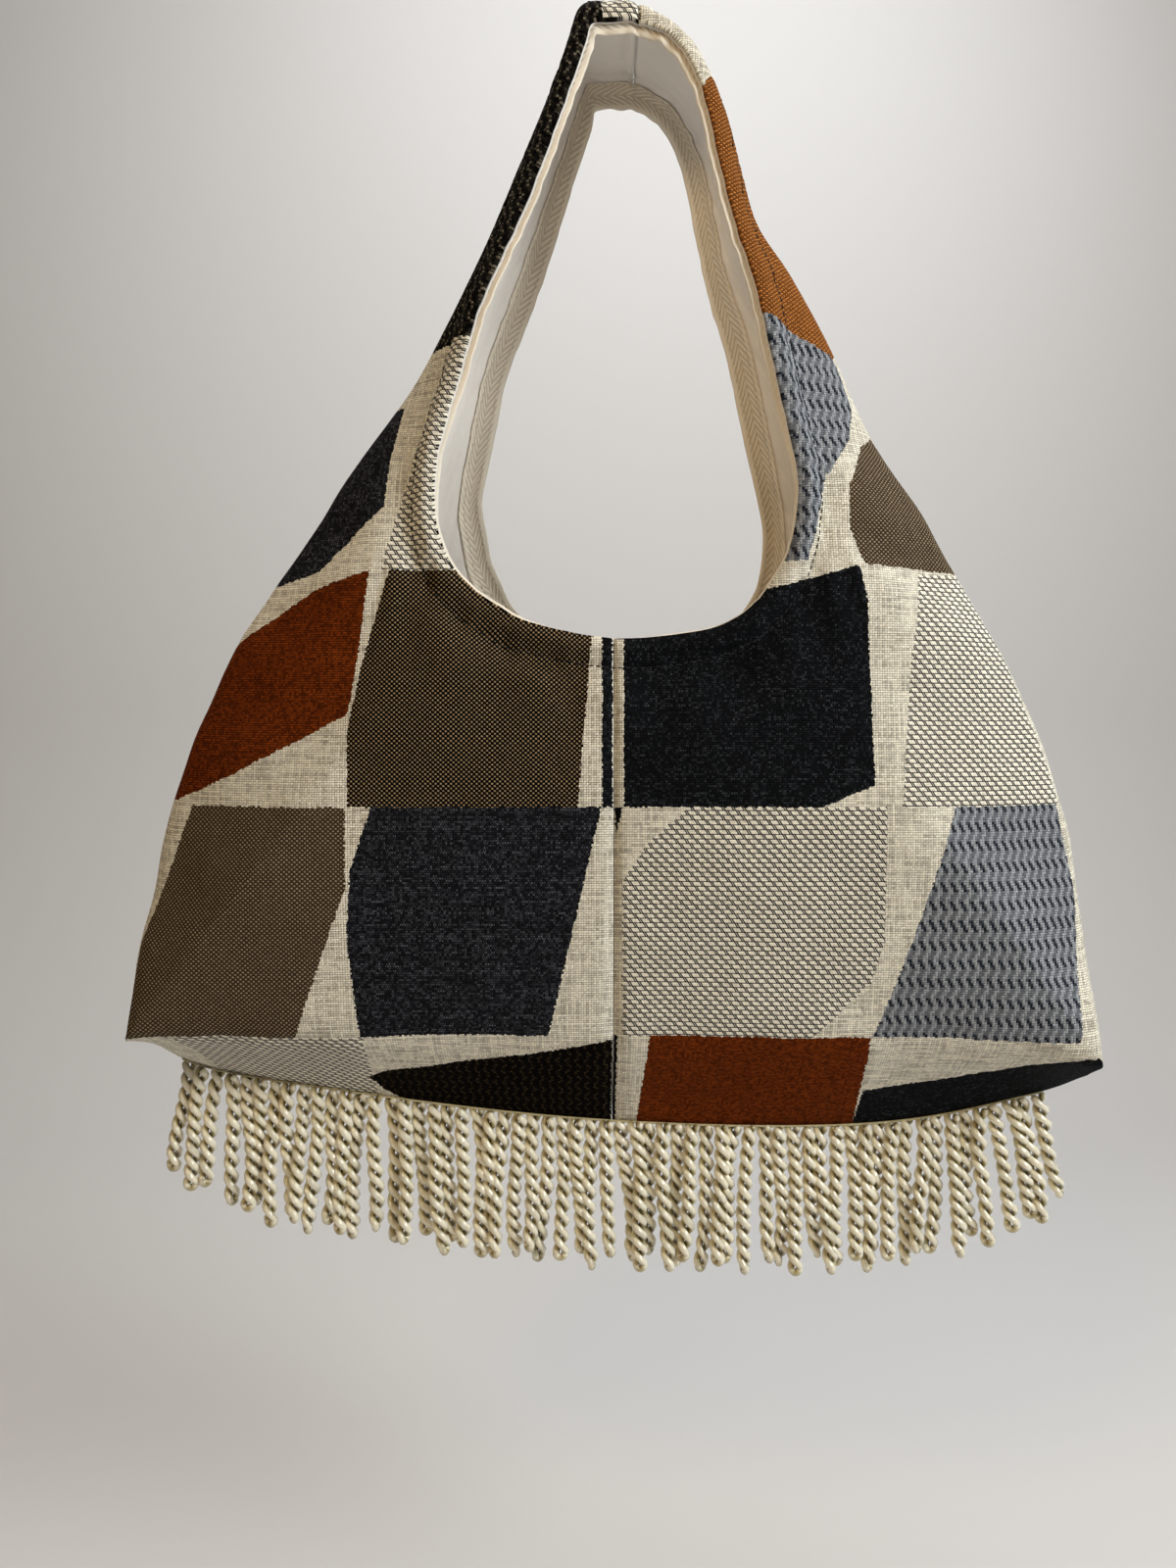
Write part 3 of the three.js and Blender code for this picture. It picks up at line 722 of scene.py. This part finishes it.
class Shade:
    """One material, with fields for its cloth coordinates in millimetres."""

    def __init__(self, name, sheen=0.0, specular=0.3):
        self.material = bpy.data.materials.new(name)
        self.material.use_nodes = True
        self.tree = self.material.node_tree
        self.shader = self.tree.nodes["Principled BSDF"]
        self.shader.inputs["Sheen Weight"].default_value = sheen
        self.shader.inputs["Specular IOR Level"].default_value = specular

    def mapped(self, name):
        """The two values of a UV map."""
        uv = add_node(self.tree, "UVMap", {}, uv_map=name)
        return [add_node(self.tree, "SeparateXYZ", {0: uv}, k) for k in (0, 1)]

    def flat(self):
        """Cloth coordinates in millimetres."""
        across, along = self.mapped("Cloth")
        return across * MM_PER_M, along * MM_PER_M

    def place(self):
        """The point in the row frame, in metres, for patterns that don't follow threads."""
        return add_node(self.tree, "TexCoord", {}, "Object")

    def noise(self, vector, per_metre, detail=2.0):
        """Soft noise from 0 to 1 with so many blobs to the metre."""
        return add_node(self.tree, "TexNoise", {"Vector": vector, "Scale": per_metre, "Detail": detail})

    def chance(self, number):
        """A random number from 0 to 1 for each whole number, the same every time."""
        return add_node(self.tree, "TexWhiteNoise", {"W": number}, "Value", noise_dimensions="1D")

    def chance_at(self, column, row):
        """A random number from 0 to 1 for each thread crossing, the same every time."""
        pair = add_node(self.tree, "CombineXYZ", {0: column, 1: row})
        return add_node(self.tree, "TexWhiteNoise", {"Vector": pair}, "Value", noise_dimensions="2D")

    def mix(self, share, first, second):
        """A colour between two others."""
        return add_node(self.tree, "Mix", {0: share, 6: first, 7: second}, 2, data_type="RGBA")

    def dim(self, colour, share):
        """A colour times a number."""
        return add_node(self.tree, "VectorMath", {0: colour, "Scale": share}, operation="SCALE")

    def finish(self, colour, height, bump_mm, roughness):
        """The material, with its colour, the height and depth of its bumps and its roughness."""
        bump = add_node(self.tree, "Bump", {"Strength": 1.0, "Distance": bump_mm * MM, "Height": height})
        for slot, value in (("Base Color", colour), ("Roughness", roughness), ("Normal", bump)):
            join(self.tree, value, self.shader.inputs[slot])
        return self.material


WARP, WEFT = 1.08, 1.0  # thread pitch across and along the cloth
STRAP_ZIGZAG_PAINTED_LIGHT = (130, 123, 108)  # the zigzag's pale thread painted paler on the strap: painted light, as the strap is lit and the bottom in shade
PAINTED_LIGHT_FROM, PAINTED_LIGHT_FULL = -300.0, -180.0
BORDER_RAGGED = 0.8  # how far a block's border shifts from thread to thread
BRICK, COURSE = 4 * WARP, 2 * WEFT  # repeat of the slash weave
STROKE_EVERY, ZIGZAG_HEIGHT, ZIGZAG_REACH = 4.17, 8.3, 2.2  # repeat of the chevron and zigzag weaves
PALE_WEFT_RUN, PALE_WARP_RUN = 11.0, 13.0  # for how long a linen thread stays bright

# Weaves of the jacquard: the colour of its shaded and of its raised threads
WEAVES = {
    "linen": ((78, 63, 36), (255, 249, 231)),
    "slash": ((15, 12, 8), (255, 249, 233)),
    "panama": ((2, 2, 1), (174, 150, 117)),
    "navy": ((5, 6, 10), (138, 142, 154)),
    "taupe": ((27, 19, 11), (172, 150, 122)),
    "rust": ((34, 9, 1), (150, 68, 19)),
    "chevron": ((22, 29, 40), (176, 180, 186)),
    "black": ((3, 4, 6), (112, 118, 126)),
    "zigzag": ((2, 1, 1), (66, 54, 36)),
    "amber": ((70, 36, 11), (208, 134, 68)),
}

# The pattern's blocks on the flat cloth, row by row, as convex outlines of x, z in millimetres.
# What no block covers is linen.
BLOCKS = [
    # bottom row, which turns under the bag
    ("slash", [(-190, -450), (-108, -450), (-114, -520), (-190, -520)]),
    ("zigzag", [(-113, -482), (-104, -476), (0, -452), (0, -520), (-80, -514), (-108, -492)]),
    ("black", [(0.2, -450), (1.8, -450), (1.8, -520), (0.2, -520)]),
    ("rust", [(16, -450), (111, -450), (116, -520), (11, -520)]),
    ("black", [(115, -484), (173, -471), (173, -520), (115, -520)]),
    ("black", [
        (173, -471), (200, -457.5), (206, -457), (214.5, -463), (240, -492), (240, -520), (173, -520),
    ]),
    # second row
    ("taupe", [(-184, -350), (-113, -350), (-113, -384), (-137, -450), (-212, -450), (-206, -409)]),
    ("navy", [(-102, -350), (-5, -350), (-28, -450), (-109, -450), (-113, -407), (-111, -377)]),
    ("black", [(0.5, -350), (4, -350), (1, -362)]),
    ("slash", [
        (32, -350), (115, -350), (115, -407), (110, -425), (86, -450), (4, -450), (4, -382), (14, -366),
    ]),
    ("chevron", [(145, -350), (197, -350), (203, -388), (202, -400), (129, -400)]),
    ("chevron", [(129, -400), (202, -400), (198, -450), (112, -450)]),
    # third row
    ("rust", [
        (-103, -250), (-113, -317), (-154, -333), (-195, -352),
        (-235, -372), (-235, -320), (-159, -275), (-134, -259),
    ]),
    ("panama", [
        (-95, -250), (-8, -250), (-9, -278), (-15, -350),
        (-112, -350), (-112, -318), (-107, -291), (-104, -281),
    ]),
    ("black", [(-4.6, -250), (-0.1, -250), (-0.1, -350), (-4.6, -350)]),
    ("black", [(4.6, -274), (107, -247), (107.5, -262), (113, -285), (114, -339), (88, -350), (4.6, -350)]),
    ("slash", [(130, -250), (166, -250), (199, -350), (117, -350), (122, -313), (127, -286)]),
    # fourth row, beside the opening
    ("navy", [(-97, -176), (-98, -222), (-127, -249), (-150, -255), (-205, -262), (-205, -176)]),
    ("slash", [(-74, -150), (-40, -150), (-40, -250), (-98, -250)]),
    ("chevron", [(50, -135), (104, -151), (108, -160), (111, -175), (106, -191), (93, -208), (60, -208)]),
    ("chevron", [(60, -208), (93, -208), (87, -229), (83, -246), (60, -246)]),
    ("taupe", [(112, -194), (122, -187), (180, -250), (107, -247), (101, -232), (101.5, -213)]),
    # strap
    ("zigzag", [(-44, -150), (-95, -150), (-60, 20), (-7, 20), (-4, -12)]),
    ("slash", [(-7, 20), (12, 20), (12, -20), (-7, -20)]),
    ("amber", [(38, -41), (43, -33), (70, -33), (116, -140), (104, -151), (50, -135)]),
]


def block_weave(x, z):
    """Which weave lies at each thread crossing, as its number in WEAVES."""
    names = list(WEAVES)
    kind = None
    for weave, corners in BLOCKS:
        following = corners[1:] + corners[:1]
        turning = sum(a[0] * b[1] - b[0] * a[1] for a, b in zip(corners, following))
        inside = None
        for a, b in zip(corners, following):
            length = math.copysign(math.dist(a, b), turning)
            across, up = (a[1] - b[1]) / length, (b[0] - a[0]) / length
            beyond = x.times_plus(across, z.times_plus(up, -across * a[0] - up * a[1]))
            inside = beyond if inside is None else inside.least(beyond)
        here = inside.above(0.0) * float(names.index(weave))
        kind = here if kind is None else kind.most(here)
    return kind


def tapestry_cloth():
    """Jacquard: each block has its own weave, and its borders step from thread to thread."""
    s = Shade("tapestry_cloth", specular=0.05)
    u, v = s.flat()
    warp, weft = u / WARP, v / WEFT
    column, row = warp.floor(), weft.floor()
    over, along = warp - column, weft - row
    x, z = (column + 0.5) * WARP, (row + 0.5) * WEFT
    ragged_u, ragged_v = s.chance(row + 5.0) * BORDER_RAGGED, s.chance(column + 7.0) * BORDER_RAGGED
    kind = block_weave(u + ragged_u, v + ragged_v)

    # Plain weave: alternate crossings show the thread across or the thread along. Their tone is partly the
    # yarns' own colours and partly a painted highlight on each thread's crown with painted shade at its
    # edges and between threads.
    weft_up = ((column + row) * 0.5).part() * 2.0
    across_thread, along_thread = along.hump(), over.hump()
    plain = across_thread.least(along_thread.times_plus(0.6, 0.55))
    other = along_thread.least(across_thread.times_plus(0.6, 0.55))
    thread = (plain - other).times_plus(weft_up, other)
    rib = (v / COURSE).part().hump()
    slub = s.chance(row) * 0.6 + s.chance(column + 311.0) * 0.4
    grain = s.chance_at(column, row)
    speck = grain.squared()
    line = across_thread.ramp(0.05, 0.7)
    fine = (warp + row * 0.5).part().hump().squared() * line

    # Slash: pale floats in brick order, each ending in two leaning dark strokes with a small stitch between.
    course = (v / COURSE).floor()
    lift = v / COURSE - course
    brick = (u / BRICK + course * 0.5 + lift * 0.3).part()
    from_pair = (brick - 0.8).size()
    stitch = from_pair.ramp(0.02, 0.07).inverse() * 0.65
    slash = from_pair.ramp(0.14, 0.21).most(stitch) * lift.ramp(0.08, 0.34)

    # Linen: an open plain weave with pinholes, some threads brighter than others for a while.
    pale_weft = s.chance_at((u / PALE_WEFT_RUN + s.chance(row) * 5.0).floor(), row)
    pale_warp = s.chance_at(column + 91.0, (v / PALE_WARP_RUN + s.chance(column) * 5.0).floor())
    pinhole = line.times_plus(0.75, 0.25) * along_thread.ramp(0.0, 0.6).times_plus(0.5, 0.5)
    linen = pinhole * (pale_weft * 0.5 + pale_warp * 0.4).times_plus(1.1, 0.5)

    # Chevron: dark strokes that lean one way and then, more faintly, the other, over fine courses.
    # They step with the threads, and the zigzag weave has pale ones.
    leaning = (z / ZIGZAG_HEIGHT).part().times_plus(2.0, -1.0).size() * ZIGZAG_REACH
    stroke = ((x + leaning) / STROKE_EVERY).part()
    faint = (z / ZIGZAG_HEIGHT).part().above(0.5).inverse() * 0.4
    chevron = (stroke - 0.5).size().ramp(0.1, 0.4).most(faint) * line.times_plus(0.45, 0.55)
    zigzag = (stroke - 0.5).size().ramp(0.06, 0.2).inverse()
    dot = across_thread * along_thread * weft_up
    lit_row = s.chance(row + 23.0).times_plus(0.7, 0.5)
    tones = {
        "linen": linen,
        "slash": slash * thread.times_plus(0.15, 0.85),
        "panama": (dot - 0.06) * 1.15,
        "navy": line * 0.03 + fine * speck * lit_row * 0.42,
        "taupe": dot * 0.9 + line * 0.1,
        "rust": line * grain.times_plus(0.42, 0.14) + fine * 0.3,
        "chevron": chevron * thread.times_plus(0.25, 0.65) + dot * 0.08,
        "black": line * 0.03 + fine * speck.squared() * lit_row * 0.3,
        "zigzag": zigzag * weft_up.times_plus(0.6, 0.1) + fine * speck * 0.12,
        "amber": line * 0.2 + dot * 0.85,
    }
    lights = {weave: linear(*colours[1]) for weave, colours in WEAVES.items()}
    # painted light: the zigzag's pale thread turns paler from under the bag, in shade, up to the lit strap
    painted_light_on_strap = v.ramp(PAINTED_LIGHT_FROM, PAINTED_LIGHT_FULL)
    lights["zigzag"] = s.mix(painted_light_on_strap, lights["zigzag"], linear(*STRAP_ZIGZAG_PAINTED_LIGHT))
    tone, dark, light = tones["linen"], linear(*WEAVES["linen"][0]), lights["linen"]
    for number, weave in enumerate(WEAVES):
        if weave == "linen":
            continue
        here = kind.equals(float(number))
        tone = (tones[weave] - tone).times_plus(here, tone)
        dark = s.mix(here, dark, linear(*WEAVES[weave][0]))
        light = s.mix(here, light, lights[weave])
    wear = s.noise(s.place(), 14.0, 3.0).times_plus(0.24, 0.88)
    uneven = wear * slub.times_plus(0.1, 0.95) * grain.times_plus(0.3, 0.85)
    colour = s.dim(s.mix(tone, dark, light), uneven)
    height = thread * 0.6 + tone * 0.5 + rib * 0.2
    return s.finish(colour, height, 0.28, roughness=tone.times_plus(-0.1, 0.92))


# Colours of the plain materials: shaded and raised threads
COTTON = ((243, 236, 227), (255, 251, 245))
TWILL = ((196, 175, 142), (255, 247, 231))
CORD = ((252, 243, 212), (255, 251, 233))
# painted shade: the cord's colour on the flanks of its plies and in the grooves between them
CORD_FLANK_SHADE, CORD_GROOVE_SHADE = (186, 172, 120), (104, 90, 44)
DARK_THREAD = ((6, 6, 5), (26, 24, 21))
PALE_THREAD = ((196, 184, 164), (238, 230, 214))

COTTON_WARP, COTTON_WEFT = 0.55, 0.5
TWILL_EVERY, TWILL_SLANT = 4.0, 1.9
SELVEDGE_FROM, SELVEDGE_FULL = TAPE_WIDTH / 2 - 2.0, TAPE_WIDTH / 2 - 0.9
YARN_EVERY, YARN_SLANT = 0.9, 0.28


def lining_cotton():
    """Soft off-white cotton with a fine plain weave and faint mottling."""
    s = Shade("lining_cotton", sheen=0.1, specular=0.2)
    u, v = s.flat()
    thread = (u / COTTON_WARP).part().hump() * (v / COTTON_WEFT).part().hump()
    mottle = s.noise(s.place(), 45.0, 4.0)
    crease = s.noise(s.place(), 120.0, 3.0)
    tone = mottle.times_plus(0.5, 0.3) + thread * 0.25
    colour = s.mix(tone, *(linear(*shade) for shade in COTTON))
    return s.finish(colour, thread * 0.25 + crease * 1.6, 0.35, roughness=mottle.times_plus(0.1, 0.84))


def twill_tape():
    """Herringbone tape with one V along its middle, firm selvedges and a painted highlight along its edge at
    the opening.
    """
    s = Shade("twill_tape", sheen=0.15, specular=0.25)
    u, v = s.flat()
    from_middle = (v - TAPE_WIDTH / 2).size()
    slant = ((u + from_middle * TWILL_SLANT) / TWILL_EVERY).part().hump()
    fibre = ((u * 2.0 + v * 1.3) / 0.7).part().hump()
    selvedge = from_middle.ramp(SELVEDGE_FROM, SELVEDGE_FULL)
    spine = from_middle.ramp(0.0, 0.5)
    tone = (slant * 0.75 + fibre * 0.2).least(spine.times_plus(0.6, 0.4))
    tone = tone * selvedge.times_plus(-0.55, 1.0) + selvedge * 0.45
    # painted highlight: the rolled edge at the opening is painted pale, as where it catches the light
    lip = v.ramp(1.2, 2.8).inverse()
    tone = tone * lip.times_plus(-0.8, 1.0) + lip * 0.72
    colour = s.mix(tone, *(linear(*shade) for shade in TWILL))
    colour = s.dim(colour, s.noise(s.place(), 30.0).times_plus(0.2, 0.9))
    return s.finish(colour, tone, 0.35, roughness=tone.times_plus(-0.1, 0.9))


def fringe_cord():
    """Silky cream cord, its fine yarns running slantwise round each ply, with painted shade on the flanks of
    its plies and between them.
    """
    s = Shade("fringe_cord", specular=1.0)
    s.shader.inputs["Coat Weight"].default_value = 1.0
    s.shader.inputs["Coat Roughness"].default_value = 0.17
    u, v = s.flat()
    outness, _ = s.mapped("GrooveShade")
    yarn = ((v + u * YARN_SLANT) / YARN_EVERY).part().hump()
    strand = s.noise(s.place(), 260.0, 2.0)
    tone = yarn * 0.35 + strand * 0.65
    colour = s.mix(tone, *(linear(*shade) for shade in CORD))
    # painted shade: darker towards each strand's core, on the flanks of the plies and in the grooves between
    # them
    colour = s.mix(outness.ramp(0.6, 0.98), linear(*CORD_FLANK_SHADE), colour)
    colour = s.mix(outness.ramp(0.25, 0.62), linear(*CORD_GROOVE_SHADE), colour)
    return s.finish(colour, yarn * 0.7 + strand * 0.5, 0.12, roughness=strand.times_plus(0.12, 0.16))


def sewing_thread(name, dark, light):
    """Twisted sewing thread."""
    s = Shade(name, sheen=0.1)
    twist = s.noise(s.place(), 1800.0, 1.0)
    colour = s.mix(twist, linear(*dark), linear(*light))
    return s.finish(colour, twist, 0.08, roughness=twist.times_plus(0.2, 0.5))


# Assembly


TAPE_ROWS = (1.0, 8.6)  # stitches of the tape, from the opening edge


def finish_piece(piece, material, slot, *nodes):
    """A piece with its material and body, in place of the nodes that it stands for. The slot is not used."""
    piece.data.materials.append(material)
    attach(piece, "root")
    if nodes:
        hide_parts(*nodes)
    return piece


jacquard, cotton, twill, cord = tapestry_cloth(), lining_cotton(), twill_tape(), fringe_cord()
dark_thread = sewing_thread("dark_thread", *DARK_THREAD)
pale_thread = sewing_thread("pale_thread", *PALE_THREAD)

for half in SIDES:
    finish_piece(add_lining(half), cotton, "lining_cotton", f"lining_{half}")

finish_piece(add_fringe(), cord, "fringe_cord", "fringe")
hem_rows = [hem_line(where, HEM_LINE, 0.0, 1) for where in FACINGS]
finish_piece(add_stitches("hem_stitches", hem_rows), dark_thread, "tapestry_cloth")
tape_rows = [hem_line(where, row, TAPE_TO, -1) for where in FACINGS for row in TAPE_ROWS]
finish_piece(add_stitches("tape_stitches", tape_rows), pale_thread, "twill_tape")

for where in FACINGS:
    for half in SIDES:
        panel = finish_piece(add_panel(where, half), jacquard, "tapestry_cloth", f"{where}_panel_{half}")
    tape, length = add_tape(where)
    finish_piece(tape, twill, "twill_tape", f"edge_tape_{where}")

# Stage: a pale floor that sweeps up behind, soft lights and the camera

SWEEP_PAINT, SURROUND_PAINT = (219, 218, 217), (214, 211, 206)
FLOOR_Z, SWEEP_TOP = -800.0, 2300.0
SWEEP_FRONT, SWEEP_BACK, SWEEP_BEND, SWEEP_HALF = -850.0, 1500.0, 600.0, 1900.0
BEND_STEPS, FRONT_STEPS = 14, 25
SURROUND, SURROUND_SIDES = 6000.0, 48

# name, place, target, width, watts, colour
LIGHTS = [
    ("key", (950, -600, 120), (40, 0, -320), 420, 11.0, (0.95, 0.985, 1.0)),
    ("front", (-600, -1250, 600), (-20, 0, -330), 420, 6.0, (1.0, 0.72, 0.4)),
    ("wash", (200, 300, 1300), (-150, 1500, -200), 1500, 23, (0.97, 0.985, 1.0)),
]
AMBIENT, AMBIENT_STRENGTH = (1.0, 0.82, 0.6, 1), 0.09

# The photograph's camera
CAMERA_PLACE = (-11, -520, -340.5)
SENSOR_MM, FOCAL_PX, PHOTO_HEIGHT_PX = 36.0, 1150, 1600


def stage_piece(name, points, faces, shade, glow=0.0):
    """A plain matt piece of the studio, which may glow faintly."""
    piece = add_mesh(name, points, faces)
    material = bpy.data.materials.new(f"{name}_paint")
    material.use_nodes = True
    shader = material.node_tree.nodes["Principled BSDF"]
    shader.inputs["Base Color"].default_value = linear(*shade)
    shader.inputs["Roughness"].default_value = 0.9
    shader.inputs["Emission Color"].default_value = linear(*shade)
    shader.inputs["Emission Strength"].default_value = glow
    piece.data.materials.append(material)
    return piece


def add_stage():
    """A pale floor that sweeps up behind the bag, inside a pale surround that only the camera sees."""
    turn = np.linspace(0, math.pi / 2, BEND_STEPS)
    bend_y, bend_z = SWEEP_BACK - SWEEP_BEND, FLOOR_Z + SWEEP_BEND
    line = [(bend_y + SWEEP_BEND * math.sin(t), bend_z - SWEEP_BEND * math.cos(t)) for t in turn]
    line.append((SWEEP_BACK, SWEEP_TOP))
    points = []
    for angle in np.linspace(-math.pi / 2, math.pi / 2, FRONT_STEPS):
        x = SWEEP_HALF * math.sin(angle)
        points += [(x, SWEEP_FRONT * math.cos(angle), FLOOR_Z)] + [(x, y, z) for y, z in line]
    rows = np.arange(len(points)).reshape(-1, len(line) + 1)
    quads = np.stack([rows[:-1, :-1], rows[1:, :-1], rows[1:, 1:], rows[:-1, 1:]], axis=-1)
    stage_piece("studio_sweep", np.array(points), quads.reshape(-1, 4).tolist(), SWEEP_PAINT)

    around = np.linspace(0, 2 * math.pi, SURROUND_SIDES, endpoint=False)
    rim = np.stack([np.cos(around), np.sin(around), np.zeros(SURROUND_SIDES)], axis=1)
    rims = np.vstack([rim - [0, 0, 1], rim + [0, 0, 1]]) * SURROUND
    faces = tube_faces(2, SURROUND_SIDES)
    surround = stage_piece("studio_surround", rims, faces, SURROUND_PAINT, 1.0)
    surround.visible_diffuse = surround.visible_glossy = surround.visible_shadow = False


def add_light(name, place, target, width, power, colour):
    """A round soft light aimed at a point."""
    lamp = bpy.data.lights.new(name, "AREA")
    lamp.shape = "DISK"
    lamp.size = width * MM
    lamp.energy = power
    lamp.color = colour
    holder = bpy.data.objects.new(name, lamp)
    bpy.context.scene.collection.objects.link(holder)
    holder.location = Vector(place) * MM
    holder.rotation_euler = (Vector(target) - Vector(place)).to_track_quat("-Z", "Y").to_euler()


def add_camera():
    """A level camera where the photograph's was."""
    camera = bpy.data.cameras.new("camera")
    camera.sensor_width = SENSOR_MM
    camera.lens = SENSOR_MM * FOCAL_PX / PHOTO_HEIGHT_PX
    camera.clip_start, camera.clip_end = 0.01, 50.0
    holder = bpy.data.objects.new("camera", camera)
    bpy.context.scene.collection.objects.link(holder)
    holder.location = Vector(CAMERA_PLACE) * MM
    holder.rotation_euler = (math.pi / 2, 0, 0)
    bpy.context.scene.camera = holder


add_stage()
for light in LIGHTS:
    add_light(*light)
add_camera()
world = bpy.data.worlds.new("studio")
world.use_nodes = True
world.node_tree.nodes["Background"].inputs["Color"].default_value = AMBIENT
world.node_tree.nodes["Background"].inputs["Strength"].default_value = AMBIENT_STRENGTH
bpy.context.scene.world = world
bpy.context.scene.view_settings.view_transform = "Standard"
